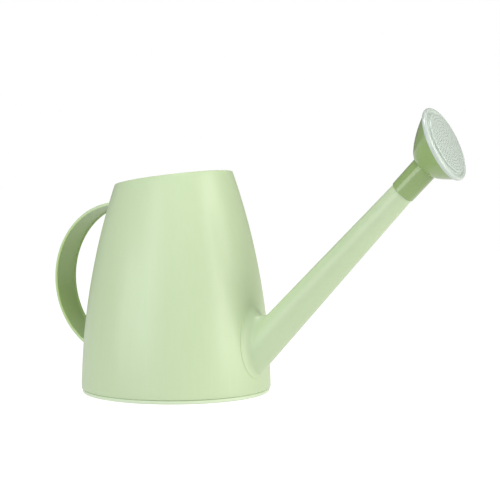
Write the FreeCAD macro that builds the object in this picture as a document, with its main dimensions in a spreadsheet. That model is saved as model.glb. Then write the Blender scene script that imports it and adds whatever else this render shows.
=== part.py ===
import FreeCAD, Part
import math
import os

import Sketcher
from FreeCAD import Placement, Rotation, Vector

# Moulded plastic watering can: a round bulged wall on a separate floor pan, a long straight spout, a strap
# handle, and a rose that pulls off the spout and turns on it. Millimetres and degrees.
# The origin is the centre of the foot on the floor, +Z is up, +X points towards the spout, and y = 0 is the
# plane of symmetry. The spout frame has its origin on the spout's axis just inside the wall, and its z along
# that axis. The face frame has its origin at the centre of the rose's front, and its z along the outward normal.

SIZES = (
    # the can's wall, turned about z: one upright arc, cut off at a slant for the mouth
    ("foot_radius", 94.7),        # outer radius the arc would have on the floor
    ("bulge_radius", 673.0),      # radius of the upright arc
    ("bulge_height", -4.2),       # height of that arc's centre, which is where the can is widest
    ("wall", 2.2),
    ("blank_height", 232.0),      # height of the turned wall before the mouth is cut
    ("mouth_height", 213.2),      # height of the mouth's plane on the can's axis
    ("mouth_tilt", 7.6),          # slope of the mouth, rising towards the spout
    ("rim_round", 0.9),
    # the floor pan, let into the wall from below, with a groove all round where the two meet
    ("seam_height", 4.3),         # lower edge of the wall, and top of the groove
    ("groove_width", 0.8),
    ("band_radius", 93.6),        # visible band under the groove
    ("band_round", 1.6),
    ("foot_inner_radius", 87.6),
    ("floor_underside", 3.6),
    ("floor_top", 6.0),
    ("spigot_top", 13.0),         # top of the collar that stands inside the wall
    ("spigot_wall", 2.0),
    # the spout, in its own frame
    ("spout_foot_x", 90.0),
    ("spout_foot_z", 42.3),
    ("spout_angle", 45.6),        # between the spout's axis and the floor
    ("spout_root_radius", 17.8),  # at the frame's origin
    ("spout_end_radius", 11.2),   # at the rose's seat
    ("spout_wall", 1.8),
    ("spout_buried", 30.0),       # length of the blank inside the wall, cut away later
    ("fairing_radius", 8.4),     # hollow round between spout and wall
    ("seat_start", 220.0),        # where the rose's socket begins
    ("seat_length", 26.0),
    ("seat_radius", 10.6),
    ("tip_radius", 10.2),
    # the handle, part of a ring about a line along y
    ("handle_centre_x", -59.4),
    ("handle_centre_z", 109.9),
    ("handle_radius", 79.0),
    ("handle_width", 33.0),
    ("handle_depth", 3.2),        # height of the two side lips, measured from the strap's back
    ("handle_wall", 2.0),
    ("handle_round", 0.8),
    # the rose's socket and seal, in the spout frame
    ("fit_gap", 0.08),            # radial running clearance, and the gap at the stops
    ("socket_length", 31.0),
    ("socket_mouth_radius", 12.1),
    ("socket_top_radius", 12.4),
    ("seal_thickness", 2.0),
    ("seal_inner_radius", 8.6),
    ("socket_way_radius", 8.0),
    ("spigot_radius", 10.4),      # short neck of the socket inside the bowl's hole
    ("spigot_length", 2.6),
    # the rose's bowl: round sections that grow and tilt from the socket to the face
    ("bowl_neck_radius", 12.5),
    ("bowl_rim_radius", 33.5),
    ("bowl_flare", 0.73),         # power of the distance in the law of growth
    ("bowl_wall", 2.4),           # measured square to the sections' axis
    ("bowl_back", 2.0),
    # the rose's face, in the face frame
    ("face_x", 286.3),
    ("face_z", 243.9),
    ("face_angle", 24.0),         # between the face's outward normal and the floor
    ("face_radius", 35.6),        # widest part of the thick rounded rim
    ("face_crest_radius", 33.2),  # top of that rim
    ("face_crest_height", -0.5),
    ("face_back_radius", 34.3),   # rim's back edge, over the bowl
    ("skirt_depth", 5.0),
    ("skirt_wall", 1.6),          # measured inwards from the back edge
    ("hollow_radius", 31.0),      # outer foot of the hollow ring round the disc
    ("hollow_depth", 2.5),        # depth of that ring below the disc's edge
    ("disc_radius", 29.0),
    ("disc_edge_height", 0.9),
    ("disc_thickness", 1.5),
    ("dome_height", 0.7),
    ("hole_radius", 0.55),
    ("hole_pitch", 3.0),
    ("hole_rings", 9),
    ("lip_radius", 32.6),         # upright lip of the bowl inside the skirt
    ("lip_height", 1.6),
)

BOWL_SECTIONS = 7


def make_sheet(doc):
    """The driving dimensions, one row each, with the dimension's name as the alias."""
    sheet = doc.addObject("Spreadsheet::Sheet", "Sizes")
    for row, (alias, value) in enumerate(SIZES, start=1):
        sheet.set(f"A{row}", alias)
        sheet.set(f"B{row}", str(value))
        sheet.setAlias(f"B{row}", alias)
    doc.recompute()
    return sheet


def wall_radius(height, inset="0"):
    """Expression for the wall's radius at a height, on the arc that lies inset inside its outer face."""
    axis = "(Sizes.foot_radius - sqrt(Sizes.bulge_radius^2 - Sizes.bulge_height^2))"
    return f"({axis} + sqrt((Sizes.bulge_radius - {inset})^2 - ({height} - Sizes.bulge_height)^2))"


def spout_radius(distance, inset="0"):
    """Expression for the spout's radius at a distance along its axis, less an inset."""
    taper = "(Sizes.spout_end_radius - Sizes.spout_root_radius) / Sizes.seat_start"
    return f"(Sizes.spout_root_radius + {taper} * ({distance}) - {inset})"


# ---------------------------------------------------------------- sketches and bodies


def new_body(doc, label):
    body = doc.addObject("PartDesign::Body", label)
    body.Label = label
    return body


def new_sketch(body, name, role="XZ_Plane"):
    """A sketch on one of its own body's origin planes."""
    sketch = body.newObject("Sketcher::SketchObject", name)
    plane = next(f for f in body.Origin.OriginFeatures if f.Role == role)
    sketch.AttachmentSupport = [(plane, "")]
    sketch.MapMode = "FlatFace"
    return sketch


def tilt_object(target, prop, base, angle):
    """Bind a placement: base is three expressions, angle turns z about y towards +x."""
    setattr(target, prop, Placement(Vector(), Rotation(Vector(0, 1, 0), 1.0)))
    for axis, expression in zip("xyz", base):
        target.setExpression(f"{prop}.Base.{axis}", expression)
    target.setExpression(f"{prop}.Rotation.Angle", angle)


def place_on_spout(target, distance="0"):
    """Put an object's origin on the spout's axis, at a distance along it."""
    base = (
        f"Sizes.spout_foot_x + cos(Sizes.spout_angle) * ({distance})",
        "0",
        f"Sizes.spout_foot_z + sin(Sizes.spout_angle) * ({distance})",
    )
    tilt_object(target, "Placement", base, "90 - Sizes.spout_angle")


def place_on_face(target):
    tilt_object(target, "Placement", ("Sizes.face_x", "0", "Sizes.face_z"), "90 - Sizes.face_angle")


def bind_point(sketch, edge, end, expressions):
    """Hold one end of an edge at two expressions, measured from the sketch's origin."""
    for kind, axis, expression in zip(("DistanceX", "DistanceY"), (-2, -1), expressions):
        value = sketch.evalExpression(expression)
        if abs(value) < 1e-9:
            sketch.addConstraint(Sketcher.Constraint("PointOnObject", edge, end, axis))
            continue
        number = sketch.addConstraint(Sketcher.Constraint(kind, -1, 1, edge, end, value))
        sketch.setExpression(f"Constraints[{number}]", expression)


def draw_arc(sketch, start, end, radius, side):
    """Short arc between two points, its centre to the left of the way (side 1) or to the right (side -1)."""
    chord = end - start
    left = Vector(-chord.y, chord.x, 0).normalize()
    rise = math.sqrt(radius**2 - (chord.Length / 2) ** 2)
    centre = (start + end) * 0.5 + left * (side * rise)
    first, last = (start, end) if side > 0 else (end, start)
    angles = [math.atan2(p.y - centre.y, p.x - centre.x) for p in (first, last)]
    sketch.addGeometry(Part.ArcOfCircle(Part.Circle(centre, Vector(0, 0, 1), radius), *angles))
    return (1, 2) if side > 0 else (2, 1)


def draw_loop(sketch, corners, arcs=None):
    """A closed outline. corners are pairs of expressions; arcs maps an edge to its radius and side."""
    arcs = arcs or {}
    points = [Vector(*[sketch.evalExpression(e) for e in corner], 0) for corner in corners]
    ends = []
    for index, start in enumerate(points):
        end = points[(index + 1) % len(points)]
        if index in arcs:
            radius, side = arcs[index]
            ends.append(draw_arc(sketch, start, end, sketch.evalExpression(radius), side))
        else:
            sketch.addGeometry(Part.LineSegment(start, end))
            ends.append((1, 2))
    for index, (_, finish) in enumerate(ends):
        follower = (index + 1) % len(ends)
        sketch.addConstraint(Sketcher.Constraint("Coincident", index, finish, follower, ends[follower][0]))
    for index, corner in enumerate(corners):
        bind_point(sketch, index, ends[index][0], corner)
    for index, (radius, _) in arcs.items():
        value = sketch.evalExpression(radius)
        number = sketch.addConstraint(Sketcher.Constraint("Radius", index, value))
        sketch.setExpression(f"Constraints[{number}]", radius)


def turn(body, sketch, name="Turned"):
    """Revolve a sketch once about its own vertical axis."""
    feature = body.newObject("PartDesign::Revolution", name)
    feature.Profile = sketch
    feature.ReferenceAxis = (sketch, ["V_Axis"])
    feature.Angle = 360
    return feature


def turned_body(doc, label, corners, arcs=None):
    body = new_body(doc, label)
    sketch = new_sketch(body, f"{label}_outline")
    draw_loop(sketch, corners, arcs)
    turn(body, sketch, f"{label}_turned")
    return body


def cut_circle(body, name, base, angle, radius, depth, reverse):
    """Cut a round hole from a tilted sketch, and stop if it removes nothing."""
    before = body.Shape.Volume
    sketch = new_sketch(body, f"{name}_circle", "XY_Plane")
    tilt_object(sketch, "AttachmentOffset", base, angle)
    sketch.addGeometry(Part.Circle(Vector(), Vector(0, 0, 1), sketch.evalExpression(radius)))
    sketch.addConstraint(Sketcher.Constraint("Coincident", 0, 3, -1, 1))
    number = sketch.addConstraint(Sketcher.Constraint("Radius", 0, sketch.evalExpression(radius)))
    sketch.setExpression(f"Constraints[{number}]", radius)
    pocket = body.newObject("PartDesign::Pocket", name)
    pocket.Profile = sketch
    pocket.Reversed = reverse
    pocket.setExpression("Length", depth)
    body.Document.recompute()
    if body.Shape.Volume > before - 1:
        raise RuntimeError(f"{name} cut nothing")
    return pocket


def round_edges(body, feature, name, radius, wanted):
    """Fillet those edges of a feature that the test picks."""
    names = [f"Edge{i}" for i, edge in enumerate(feature.Shape.Edges, start=1) if wanted(edge)]
    fillet = body.newObject("PartDesign::Fillet", name)
    fillet.Base = (feature, names)
    fillet.setExpression("Radius", radius)
    return fillet


def cone(doc, name, start, length, radii):
    """A cone along the spout's axis, from a start distance, with expressions for its two radii."""
    solid = doc.addObject("Part::Cone", name)
    solid.setExpression("Radius1", radii[0])
    solid.setExpression("Radius2", radii[1])
    solid.setExpression("Height", length)
    place_on_spout(solid, start)
    return solid


def boolean(doc, kind, name, base, tool):
    result = doc.addObject(f"Part::{kind}", name)
    result.Base = base
    result.Tool = tool
    return result


# ---------------------------------------------------------------- the can


def make_wall_form(doc):
    """Solid of the can's outside, used to trim the spout and the handle to the wall."""
    corners = (
        ("0", "0"),
        (wall_radius("0"), "0"),
        (wall_radius("Sizes.blank_height"), "Sizes.blank_height"),
        ("0", "Sizes.blank_height"),
    )
    return turned_body(doc, "wall_form", corners, {1: ("Sizes.bulge_radius", 1)})


def make_body_shell(doc):
    """Thin wall with a slanted mouth and the hole behind the spout's root."""
    low, high = "Sizes.seam_height", "Sizes.blank_height"
    corners = (
        (wall_radius(low, "Sizes.wall"), low),
        (wall_radius(low), low),
        (wall_radius(high), high),
        (wall_radius(high, "Sizes.wall"), high),
    )
    arcs = {1: ("Sizes.bulge_radius", 1), 3: ("Sizes.bulge_radius - Sizes.wall", -1)}
    body = turned_body(doc, "body_shell", corners, arcs)
    doc.recompute()
    mouth = cut_circle(
        body,
        "mouth_cut",
        ("0", "0", "Sizes.mouth_height"),
        "-Sizes.mouth_tilt",
        "1.5 * Sizes.foot_radius",
        "Sizes.blank_height",
        True,
    )
    tilt = math.radians(body.evalExpression("Sizes.mouth_tilt"))
    normal = Vector(-math.sin(tilt), 0, math.cos(tilt))
    middle = Vector(0, 0, body.evalExpression("Sizes.mouth_height"))

    def on_mouth(edge):
        return all(abs((v.Point - middle).dot(normal)) < 0.01 for v in edge.Vertexes) and (
            abs((edge.valueAt(edge.LastParameter * 0.5) - middle).dot(normal)) < 0.01
        )

    round_edges(body, mouth, "rim_rounds", "Sizes.rim_round", on_mouth)
    doc.recompute()
    outward = "Sizes.spout_buried"
    cut_circle(
        body,
        "spout_hole",
        (
            f"Sizes.spout_foot_x + cos(Sizes.spout_angle) * {outward}",
            "0",
            f"Sizes.spout_foot_z + sin(Sizes.spout_angle) * {outward}",
        ),
        "90 - Sizes.spout_angle",
        "Sizes.spout_root_radius - Sizes.spout_wall",
        "2 * Sizes.spout_buried",
        False,
    )
    return body


def make_base_pan(doc):
    """Floor with a foot ring, the band under the seam, and a collar that stands inside the wall."""
    groove_floor = wall_radius("Sizes.seam_height", "Sizes.wall")
    collar = wall_radius("Sizes.spigot_top", "Sizes.wall")
    corners = (
        ("0", "Sizes.floor_underside"),
        ("Sizes.foot_inner_radius", "Sizes.floor_underside"),
        ("Sizes.foot_inner_radius", "0"),
        ("Sizes.band_radius - Sizes.band_round", "0"),
        ("Sizes.band_radius", "Sizes.band_round"),
        ("Sizes.band_radius", "Sizes.seam_height - Sizes.groove_width"),
        (groove_floor, "Sizes.seam_height - Sizes.groove_width"),
        (groove_floor, "Sizes.seam_height"),
        (collar, "Sizes.spigot_top"),
        (f"{collar} - Sizes.spigot_wall", "Sizes.spigot_top"),
        (f"{collar} - Sizes.spigot_wall", "Sizes.floor_top"),
        ("0", "Sizes.floor_top"),
    )
    arcs = {3: ("Sizes.band_round", 1), 7: ("Sizes.bulge_radius - Sizes.wall", 1)}
    return turned_body(doc, "base_pan", corners, arcs)


def make_spout_tube(doc, wall_form):
    """Tapered pipe, faired into the wall at its root and stepped down at its end for the rose."""
    blank = cone(
        doc,
        "spout_blank",
        "-Sizes.spout_buried",
        "Sizes.spout_buried + Sizes.seat_start",
        (spout_radius("-Sizes.spout_buried"), spout_radius("Sizes.seat_start")),
    )
    joined = boolean(doc, "Fuse", "spout_on_form", wall_form, blank)
    doc.recompute()
    root = [
        index
        for index, edge in enumerate(joined.Shape.Edges, start=1)
        if is_root_edge(edge, blank.Shape, wall_form.Shape)
    ]
    fairing = doc.addObject("Part::Fillet", "spout_fairing")
    fairing.Base = joined
    radius = fairing.evalExpression("Sizes.fairing_radius")
    fairing.Edges = [(index, radius, radius) for index in root]
    outside = boolean(doc, "Cut", "spout_outside", fairing, wall_form)
    seat_radii = ("Sizes.seat_radius", "Sizes.tip_radius")
    seat = cone(doc, "rose_seat", "Sizes.seat_start", "Sizes.seat_length", seat_radii)
    whole = boolean(doc, "Fuse", "spout_and_seat", outside, seat)
    end = "Sizes.seat_start + Sizes.seat_length + 1"
    bore = cone(
        doc,
        "spout_bore",
        "-Sizes.spout_buried",
        f"Sizes.spout_buried + {end}",
        (spout_radius("-Sizes.spout_buried", "Sizes.spout_wall"), spout_radius(end, "Sizes.spout_wall")),
    )
    return boolean(doc, "Cut", "spout_tube", whole, bore)


def is_root_edge(edge, pipe, form):
    """Whether an edge lies on both the pipe's and the form's skin: the line where they meet."""
    middle = Part.Vertex(edge.valueAt((edge.FirstParameter + edge.LastParameter) / 2))
    return all(middle.distToShape(shell)[0] < 0.01 for shell in (pipe.Shells[0], form.Shells[0]))


def make_handle_strap(doc, wall_form):
    """Strap with two inward lips, turned about a line along y and trimmed to the wall."""
    ring = new_body(doc, "handle_ring")
    ring.setExpression("Placement.Base.x", "Sizes.handle_centre_x")
    ring.setExpression("Placement.Base.z", "Sizes.handle_centre_z")
    back, lip = "Sizes.handle_radius", "(Sizes.handle_radius - Sizes.handle_depth)"
    web = "(Sizes.handle_radius - Sizes.handle_wall)"
    side, inside = "Sizes.handle_width / 2", "(Sizes.handle_width / 2 - Sizes.handle_wall)"
    sketch = new_sketch(ring, "handle_section", "XY_Plane")
    half = ((back, side), (lip, side), (lip, inside), (web, inside))
    mirrored = tuple((x, f"-({y})") for x, y in reversed(half))
    draw_loop(sketch, half + mirrored)
    swept = turn(ring, sketch, "handle_turned")
    doc.recompute()
    radii = [ring.evalExpression(e) for e in (back, lip)]

    def on_corner(edge):
        if not isinstance(edge.Curve, Part.Circle):
            return False
        return any(abs(edge.Curve.Radius - radius) < 0.01 for radius in radii)

    round_edges(ring, swept, "handle_rounds", "Sizes.handle_round", on_corner)
    return boolean(doc, "Cut", "handle_strap", ring, wall_form)


# ---------------------------------------------------------------- the rose


def make_rose_seal(doc):
    """Flat washer between the spout's tip and the shoulder in the socket."""
    low = "Sizes.seat_start + Sizes.seat_length + Sizes.fit_gap"
    high = f"{low} + Sizes.seal_thickness"
    corners = (
        ("Sizes.seal_inner_radius", low),
        ("Sizes.tip_radius", low),
        ("Sizes.tip_radius", high),
        ("Sizes.seal_inner_radius", high),
    )
    body = turned_body(doc, "rose_seal", corners)
    place_on_spout(body)
    return body


def make_rose_socket(doc):
    """Sleeve over the spout's end, with a shoulder for the washer and a short neck for the bowl."""
    mouth = "Sizes.seat_start + Sizes.fit_gap"
    tip = "Sizes.seat_start + Sizes.seat_length"
    shoulder = f"{tip} + Sizes.seal_thickness + 2 * Sizes.fit_gap"
    top = "Sizes.seat_start + Sizes.socket_length"
    neck = f"{top} + Sizes.spigot_length"
    corners = (
        ("Sizes.seat_radius + Sizes.fit_gap", mouth),
        ("Sizes.socket_mouth_radius", mouth),
        ("Sizes.socket_top_radius", top),
        ("Sizes.spigot_radius", top),
        ("Sizes.spigot_radius", neck),
        ("Sizes.socket_way_radius", neck),
        ("Sizes.socket_way_radius", shoulder),
        ("Sizes.tip_radius + Sizes.fit_gap", shoulder),
        ("Sizes.tip_radius + Sizes.fit_gap", tip),
    )
    body = turned_body(doc, "rose_socket", corners)
    place_on_spout(body)
    return body


def bowl_form(sheet, inset, start):
    """Loft of round sections that grow and tilt from a start (a share of the way) to the rim, at 1."""
    neck = spout_point(sheet, sheet.seat_start + sheet.socket_length)
    rim = rim_centre(sheet)
    wires = []
    for step in range(BOWL_SECTIONS):
        share = start + (1 - start) * (step / (BOWL_SECTIONS - 1)) ** 2
        angle = sheet.spout_angle + (sheet.face_angle - sheet.spout_angle) * share
        growth = (sheet.bowl_rim_radius - sheet.bowl_neck_radius) * share**sheet.bowl_flare
        wire = Part.Wire(Part.makeCircle(sheet.bowl_neck_radius + growth - inset))
        wire.Placement = Placement(neck + (rim - neck) * share, Rotation(Vector(0, 1, 0), 90 - angle))
        wires.append(wire)
    return Part.makeLoft(wires, True, False)


def spout_point(sheet, distance):
    """Point on the spout's axis at a distance from its frame's origin."""
    angle = math.radians(sheet.spout_angle)
    foot = Vector(sheet.spout_foot_x, 0, sheet.spout_foot_z)
    return foot + Vector(math.cos(angle), 0, math.sin(angle)) * distance


def make_rose_cup(doc, sheet):
    """Thin bowl with a hole for the socket's neck and an upright lip that the face clips over."""
    outside = bowl_form(sheet, 0, 0)
    neck_to_rim = (spout_point(sheet, sheet.seat_start + sheet.socket_length) - rim_centre(sheet)).Length
    inside = bowl_form(sheet, sheet.bowl_wall, sheet.bowl_back / neck_to_rim)
    hole = Part.makeCylinder(sheet.spigot_radius, 4 * sheet.bowl_back)
    hole.Placement = spout_placement(sheet, sheet.seat_start + sheet.socket_length - sheet.bowl_back)
    lip = Part.makeCylinder(sheet.lip_radius, sheet.lip_height)
    lip = lip.cut(Part.makeCylinder(sheet.bowl_rim_radius - sheet.bowl_wall, sheet.lip_height))
    lip.Placement = Placement(rim_centre(sheet), Rotation(Vector(0, 1, 0), 90 - sheet.face_angle))
    cup = doc.addObject("Part::Feature", "rose_cup")
    cup.Shape = outside.cut(inside).cut(hole).fuse(lip).removeSplitter()
    return cup


def rim_centre(sheet):
    """Centre of the bowl's open edge, which the skirt of the face reaches."""
    normal = Rotation(Vector(0, 1, 0), 90 - sheet.face_angle).multVec(Vector(0, 0, 1))
    return Vector(sheet.face_x, 0, sheet.face_z) - normal * sheet.skirt_depth


def spout_placement(sheet, distance):
    return Placement(spout_point(sheet, distance), Rotation(Vector(0, 1, 0), 90 - sheet.spout_angle))


def make_rose_face(doc, sheet):
    """Raised, domed disc with a hollow ring round it, a thick rounded rim and a skirt, drilled in rings."""
    edge, thick = "Sizes.disc_edge_height", "Sizes.disc_thickness"
    skirt = "Sizes.face_back_radius - Sizes.skirt_wall"
    hollow = f"({edge} - Sizes.hollow_depth)"
    back = "Sizes.fit_gap - Sizes.skirt_depth"
    bulge = "(Sizes.face_radius - Sizes.face_crest_radius)"
    dome = "(Sizes.disc_radius^2 + Sizes.dome_height^2) / (2 * Sizes.dome_height)"
    corners = (
        ("0", f"{edge} - {thick}"),
        (f"Sizes.disc_radius - {thick}", f"{edge} - {thick}"),
        (f"Sizes.disc_radius - {thick}", f"{hollow} - {thick}"),
        (skirt, f"{hollow} - {thick}"),
        (skirt, back),
        ("Sizes.face_back_radius", back),
        ("Sizes.face_radius", f"Sizes.face_crest_height - {bulge}"),
        ("Sizes.face_crest_radius", "Sizes.face_crest_height"),
        ("Sizes.hollow_radius", hollow),
        ("Sizes.disc_radius", hollow),
        ("Sizes.disc_radius", edge),
        ("0", f"{edge} + Sizes.dome_height"),
    )
    arcs = {6: (bulge, 1), 10: (dome, 1)}
    blank = turned_body(doc, "face_blank", corners, arcs)
    place_on_face(blank)
    drills = doc.addObject("Part::Feature", "face_drills")
    drills.Shape = Part.makeCompound(list(drill_cylinders(sheet)))
    place_on_face(drills)
    return boolean(doc, "Cut", "rose_face", blank, drills)


def drill_cylinders(sheet):
    """One fine drill on the axis, then rings of six, twelve, eighteen and so on at an even pitch."""
    low = -2 * sheet.disc_thickness
    length = sheet.dome_height - 2 * low
    yield Part.makeCylinder(sheet.hole_radius, length, Vector(0, 0, low))
    for ring in range(1, int(sheet.hole_rings) + 1):
        for place in range(6 * ring):
            angle = math.radians(60 * place / ring)
            centre = Vector(math.cos(angle), math.sin(angle), 0) * (ring * sheet.hole_pitch)
            yield Part.makeCylinder(sheet.hole_radius, length, centre + Vector(0, 0, low))


# ---------------------------------------------------------------- checks and output


def check_document(doc):
    """Stop if any object of the document failed."""
    for item in doc.Objects:
        bad = [state for state in item.State if state in ("Invalid", "Error")]
        if bad:
            raise RuntimeError(f"{item.Name} is {bad}")


def write_nodes(nodes):
    """Check every sub-part's shape, then write them all."""
    for node in nodes:
        if node.Shape.isNull() or not node.Shape.isValid() or not node.Shape.Solids:
            raise RuntimeError(f"{node.Label} has no valid solid")
    os.makedirs("parts", exist_ok=True)
    for node in nodes:
        node.Shape.exportStep(f"parts/{node.Label}.step")
        box = node.Shape.BoundBox
        print(
            f"{node.Label:14s} solids {len(node.Shape.Solids)}  volume {node.Shape.Volume:9.0f} mm3"
            f"  x {box.XMin:7.1f} {box.XMax:6.1f}  y {box.YMin:6.1f} {box.YMax:5.1f}"
            f"  z {box.ZMin:6.1f} {box.ZMax:6.1f}"
        )


def main():
    doc = FreeCAD.newDocument("watering_can")
    sheet = make_sheet(doc)
    wall_form = make_wall_form(doc)
    nodes = [
        make_body_shell(doc),
        make_base_pan(doc),
        make_spout_tube(doc, wall_form),
        make_handle_strap(doc, wall_form),
        make_rose_seal(doc),
        make_rose_socket(doc),
        make_rose_cup(doc, sheet),
        make_rose_face(doc, sheet),
    ]
    doc.recompute()
    check_document(doc)
    write_nodes(nodes)


main()
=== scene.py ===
"""Moulded plastic watering can on a white studio sweep.

Every piece of the can is modelled here in metres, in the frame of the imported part: the foot stands on z = 0,
the spout points along +X and y = 0 is the plane of symmetry. Each class below is one sub-assembly: its fields
are its sizes, and its methods build its mesh, dress it and hang it on the body that it moves with.
"""

import logging
import math
from dataclasses import dataclass, replace
from enum import Enum
from typing import Callable, Iterable, Sequence

import bpy
from mathutils import Matrix, Vector


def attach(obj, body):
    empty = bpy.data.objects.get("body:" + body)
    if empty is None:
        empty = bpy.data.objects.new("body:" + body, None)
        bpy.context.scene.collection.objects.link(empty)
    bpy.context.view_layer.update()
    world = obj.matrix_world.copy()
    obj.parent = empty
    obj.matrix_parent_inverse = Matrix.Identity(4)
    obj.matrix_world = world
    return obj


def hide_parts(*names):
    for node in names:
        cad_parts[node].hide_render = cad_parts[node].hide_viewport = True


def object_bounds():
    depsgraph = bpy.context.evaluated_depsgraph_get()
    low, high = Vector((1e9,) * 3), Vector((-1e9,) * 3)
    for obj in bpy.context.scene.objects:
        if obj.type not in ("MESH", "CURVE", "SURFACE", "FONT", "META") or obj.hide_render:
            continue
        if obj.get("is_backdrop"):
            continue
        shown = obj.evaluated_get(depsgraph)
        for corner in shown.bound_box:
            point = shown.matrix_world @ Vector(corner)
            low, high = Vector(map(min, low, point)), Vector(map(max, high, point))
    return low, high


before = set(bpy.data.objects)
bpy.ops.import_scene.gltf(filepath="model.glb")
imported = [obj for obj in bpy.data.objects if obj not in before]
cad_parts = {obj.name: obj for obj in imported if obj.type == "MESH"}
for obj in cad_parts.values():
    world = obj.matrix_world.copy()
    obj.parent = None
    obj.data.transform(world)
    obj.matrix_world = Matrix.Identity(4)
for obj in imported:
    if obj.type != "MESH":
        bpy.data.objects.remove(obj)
LOG = logging.getLogger("watering_can")
SEGMENTS = 192
MM = 0.001
WELD = 0.001 * MM


class Body(Enum):
    """The rigid bodies that pieces ride on."""

    CAN = "can"
    SEAL = "seal"
    ROSE = "rose"
    FACE = "face"


class Slot(Enum):
    """The record's material slots."""

    CAN = "can_plastic"
    ROSE = "rose_plastic"
    FACE = "face_plastic"
    SEAL = "seal_rubber"


@dataclass(frozen=True)
class Ring:
    """One ring of a turned shape: its radius and its height on the axis, in metres."""

    radius: float
    height: float


# ------------------------------------------------------------------ modelling by hand


def deselect() -> None:
    """Leave object mode and clear the selection."""
    if bpy.context.object and bpy.context.object.mode != "OBJECT":
        bpy.ops.object.mode_set(mode="OBJECT")
    bpy.ops.object.select_all(action="DESELECT")


def make_active(piece: bpy.types.Object) -> None:
    """Select one object alone and make it the active one."""
    deselect()
    piece.select_set(True)
    bpy.context.view_layer.objects.active = piece


def name_active(name: str) -> bpy.types.Object:
    """Name the active object and its mesh.

    Args:
        name: The new name.

    Returns:
        The active object.
    """
    piece = bpy.context.object
    piece.name = name
    piece.data.name = name
    return piece


class Ends(Enum):
    """How the two ends of a turned shape are finished."""

    OPEN = "left open"
    LOOP = "joined to each other"
    POLES = "each drawn to a point on the axis"


def turned(
    name: str, rings: Sequence[Ring], ends: Ends = Ends.LOOP, segments: int = SEGMENTS
) -> bpy.types.Object:
    """Turn a shape about z by drawing a circle and extruding it from ring to ring.

    Args:
        name: Name of the new object.
        rings: The rings in order, none of them of no radius.
        ends: What becomes of the first and the last ring.
        segments: Number of points on each ring.

    Returns:
        The new object, in object mode. Unless it has poles, its points are in ring order.
    """
    deselect()
    first = rings[0]
    bpy.ops.mesh.primitive_circle_add(vertices=segments, radius=first.radius, location=(0, 0, first.height))
    piece = name_active(name)
    bpy.ops.object.transform_apply(location=True, rotation=False, scale=False)
    bpy.ops.object.mode_set(mode="EDIT")
    bpy.ops.mesh.select_all(action="SELECT")
    for before, ring in zip(rings, rings[1:]):
        rise = (0, 0, ring.height - before.height)
        bpy.ops.mesh.extrude_edges_move(TRANSFORM_OT_translate={"value": rise})
        grow = ring.radius / before.radius
        bpy.ops.transform.resize(value=(grow, grow, 1), center_override=(0, 0, ring.height))
    bpy.ops.mesh.select_all(action="DESELECT")
    bpy.ops.mesh.select_non_manifold()
    if ends is Ends.LOOP:
        bpy.ops.mesh.bridge_edge_loops()
    elif ends is Ends.POLES:
        bpy.ops.mesh.edge_collapse()
    bpy.ops.object.mode_set(mode="OBJECT")
    return piece


def reshape(
    piece: bpy.types.Object, place: Callable[[int, float, Vector], Vector], segments: int = SEGMENTS
) -> None:
    """Move every point of a turned shape to a place worked out from its ring and its angle.

    Args:
        piece: A shape from turned(), before anything else is done to it.
        place: Takes the ring's number, the angle about the axis and the point, and gives the new point.
        segments: Number of points on each ring.
    """
    for vertex in piece.data.vertices:
        angle = math.atan2(vertex.co.y, vertex.co.x)
        vertex.co = place(vertex.index // segments, angle, vertex.co.copy())


def outward(piece: bpy.types.Object) -> None:
    """Merge doubled points and turn every face of a closed shape outwards."""
    make_active(piece)
    bpy.ops.object.mode_set(mode="EDIT")
    bpy.ops.mesh.select_all(action="SELECT")
    bpy.ops.mesh.remove_doubles(threshold=WELD)
    bpy.ops.mesh.normals_make_consistent(inside=False)
    bpy.ops.object.mode_set(mode="OBJECT")


def smooth(piece: bpy.types.Object, degrees: float = 35.0) -> None:
    """Shade smooth, but keep edges sharper than an angle crisp.

    Args:
        piece: The object.
        degrees: The angle.
    """
    make_active(piece)
    bpy.ops.object.shade_smooth_by_angle(angle=math.radians(degrees))


def modify(piece: bpy.types.Object, kind: str, **settings: object) -> None:
    """Add a modifier and apply it at once.

    Args:
        piece: The object.
        kind: The modifier's type.
        settings: The modifier's properties.
    """
    make_active(piece)
    bpy.ops.object.modifier_add(type=kind)
    modifier = piece.modifiers[-1]
    for key, value in settings.items():
        setattr(modifier, key, value)
    bpy.ops.object.modifier_apply(modifier=modifier.name)


def put(piece: bpy.types.Object, place: Matrix) -> None:
    """Move a piece to its place and apply that, so that its object stays at the origin."""
    make_active(piece)
    piece.matrix_world = place
    bpy.ops.object.transform_apply(location=True, rotation=True, scale=True)


def subtract(piece: bpy.types.Object, tool: bpy.types.Object) -> None:
    """Cut one closed shape out of another and throw the tool away."""
    modify(piece, "BOOLEAN", operation="DIFFERENCE", object=tool, solver="EXACT")
    bpy.data.objects.remove(tool, do_unlink=True)


def arc(centre: tuple[float, float], radius: float, start: float, stop: float, steps: int) -> list[Ring]:
    """Rings along a round corner of a turned outline.

    Args:
        centre: The corner's centre, as a radius from the axis and a height.
        radius: The corner's own radius.
        start: First angle in degrees, from outwards (0) to up (90).
        stop: Last angle.
        steps: Number of steps between them.

    Returns:
        One ring more than there are steps.
    """
    angles = [math.radians(start + (stop - start) * i / steps) for i in range(steps + 1)]
    return [Ring(centre[0] + radius * math.cos(a), centre[1] + radius * math.sin(a)) for a in angles]


def tilted(origin: Vector, elevation: float) -> Matrix:
    """Matrix of a frame in the plane y = 0 whose z points up and along +X.

    Args:
        origin: The frame's origin.
        elevation: Angle in degrees between its z and the floor.

    Returns:
        The matrix that takes the frame's points to the can's frame.
    """
    return Matrix.Translation(origin) @ Matrix.Rotation(math.radians(90 - elevation), 4, "Y")


# ------------------------------------------------------------------ finishes


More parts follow.
